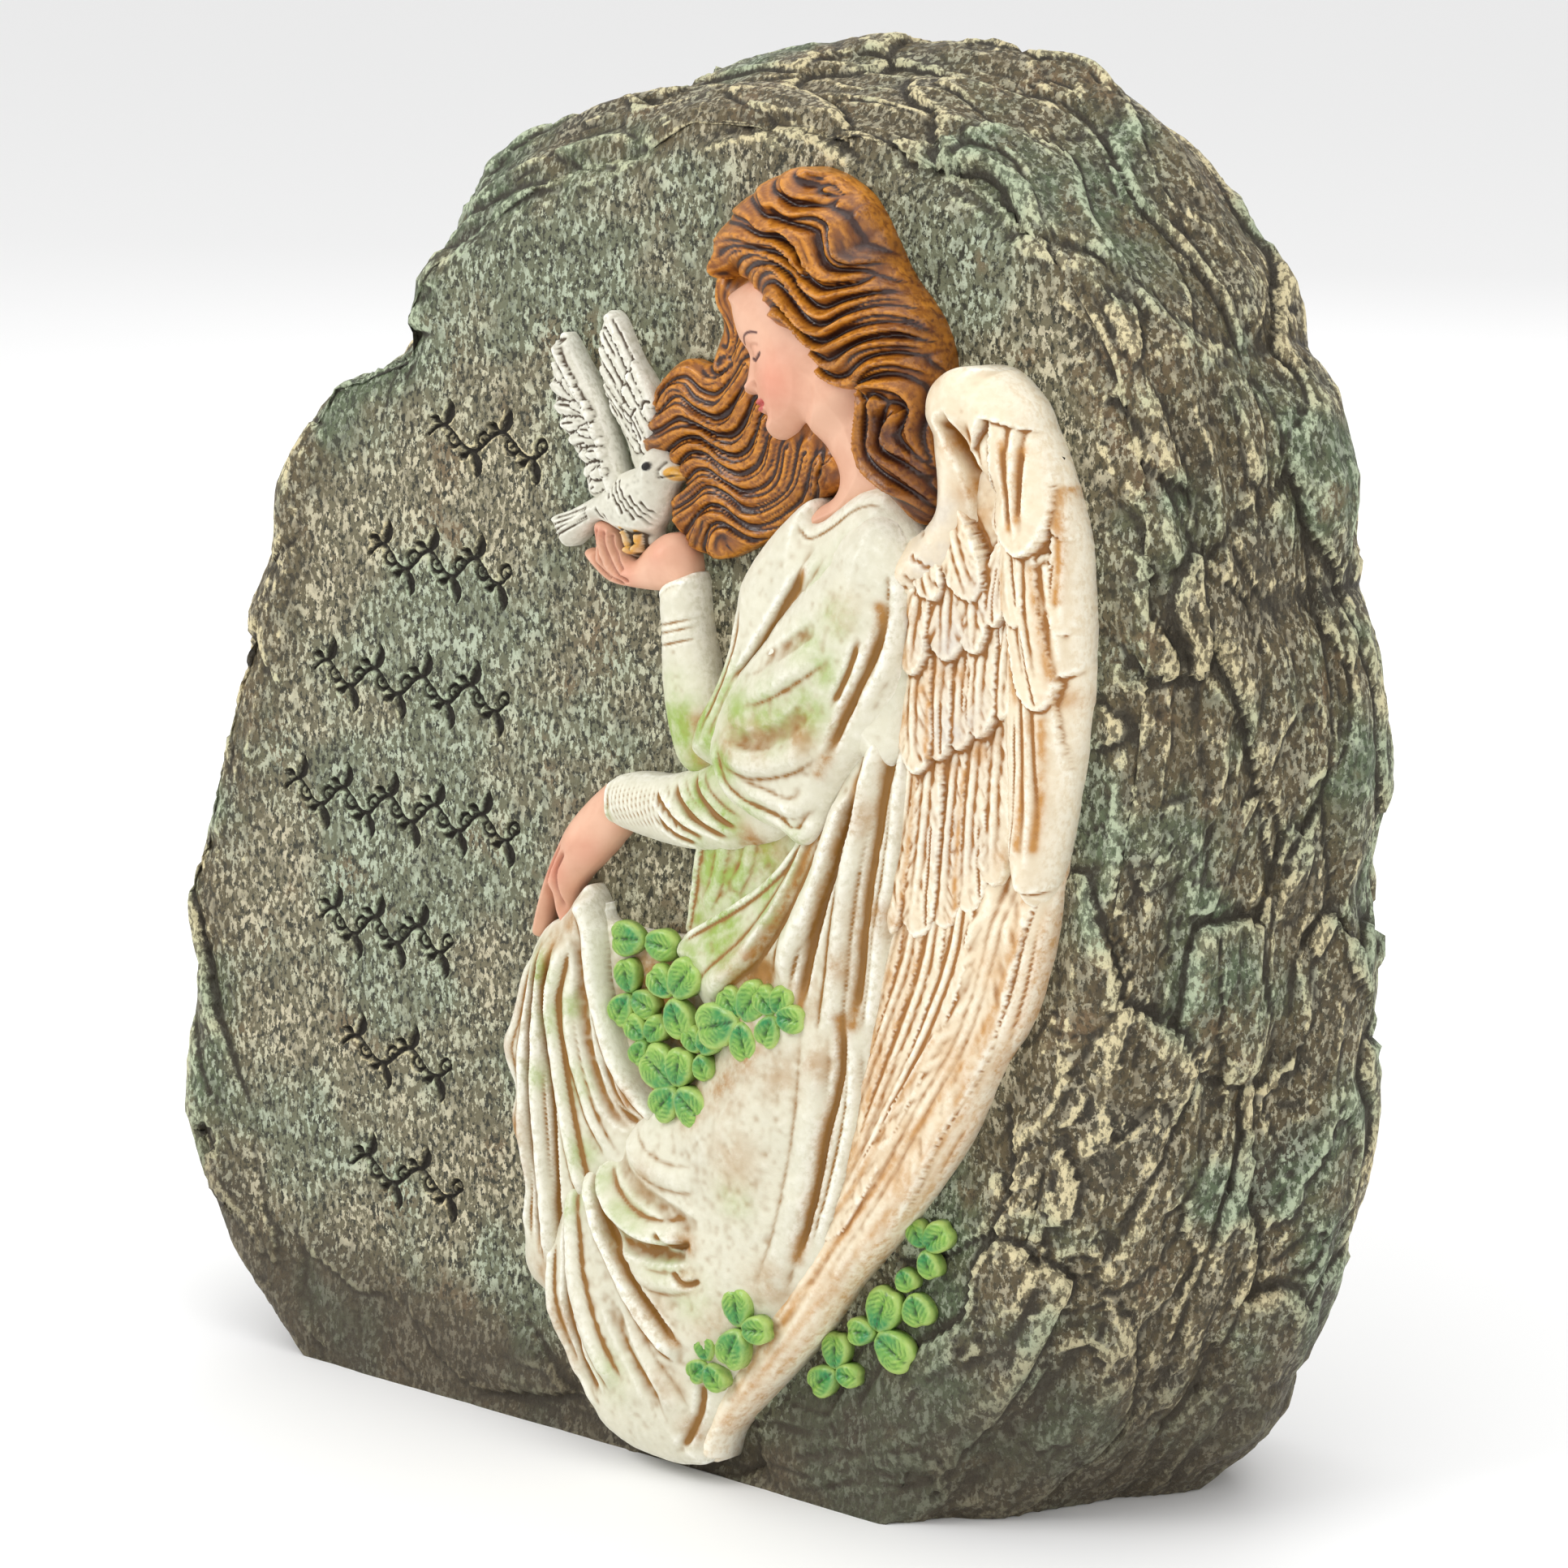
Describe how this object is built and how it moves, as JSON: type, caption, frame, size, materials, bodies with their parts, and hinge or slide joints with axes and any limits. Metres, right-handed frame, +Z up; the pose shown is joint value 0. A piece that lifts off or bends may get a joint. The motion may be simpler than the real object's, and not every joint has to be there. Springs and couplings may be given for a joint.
{
  "type": "angel relief garden stone",
  "caption": "Free-standing cast garden stone with a painted relief of an angel with a folded wing, a dove on her raised hand and clovers gathered in her lifted skirt.",
  "frame": {"origin": "centre of the bounding box at the underside, where the stone stands on the floor", "axes": "+Z up, -Y towards the viewer of the relief, +X to the viewer's right (the wing's side)"},
  "size_m": [0.2631, 0.0994, 0.2811],
  "materials": {
    "stone": "matte",
    "hair": "satin",
    "skin": "satin",
    "gown": "matte",
    "wing": "matte",
    "dove": "matte",
    "clover": "satin"
  },
  "bodies": {
    "root": {"clover_hem_1": "clover", "clover_hem_2": "clover", "clover_lap_1": "clover", "clover_lap_2": "clover", "clover_lap_3": "clover", "clover_lap_4": "clover", "clover_lap_5": "clover", "clover_lap_6": "clover", "clover_lap_7": "clover", "clover_lap_8": "clover", "clover_stone_1": "clover", "clover_stone_2": "clover", "clover_stone_3": "clover", "clover_stone_4": "clover", "clover_stone_5": "clover", "dove_body": "dove", "dove_far_wing": "dove", "dove_near_wing": "dove", "gown_bodice": "gown", "gown_skirt": "gown", "hair_blown": "hair", "hair_crown": "hair", "head_and_neck": "skin", "lap_panel": "gown", "lowered_forearm_sleeve": "gown", "lowered_hand": "skin", "raised_forearm_sleeve": "gown", "raised_hand": "skin", "skirt_gather": "gown", "stone_shell": "stone", "upper_sleeve": "gown", "wing_arm": "wing", "wing_coverts": "wing", "wing_primaries": "wing"}
  },
  "joints": []
}
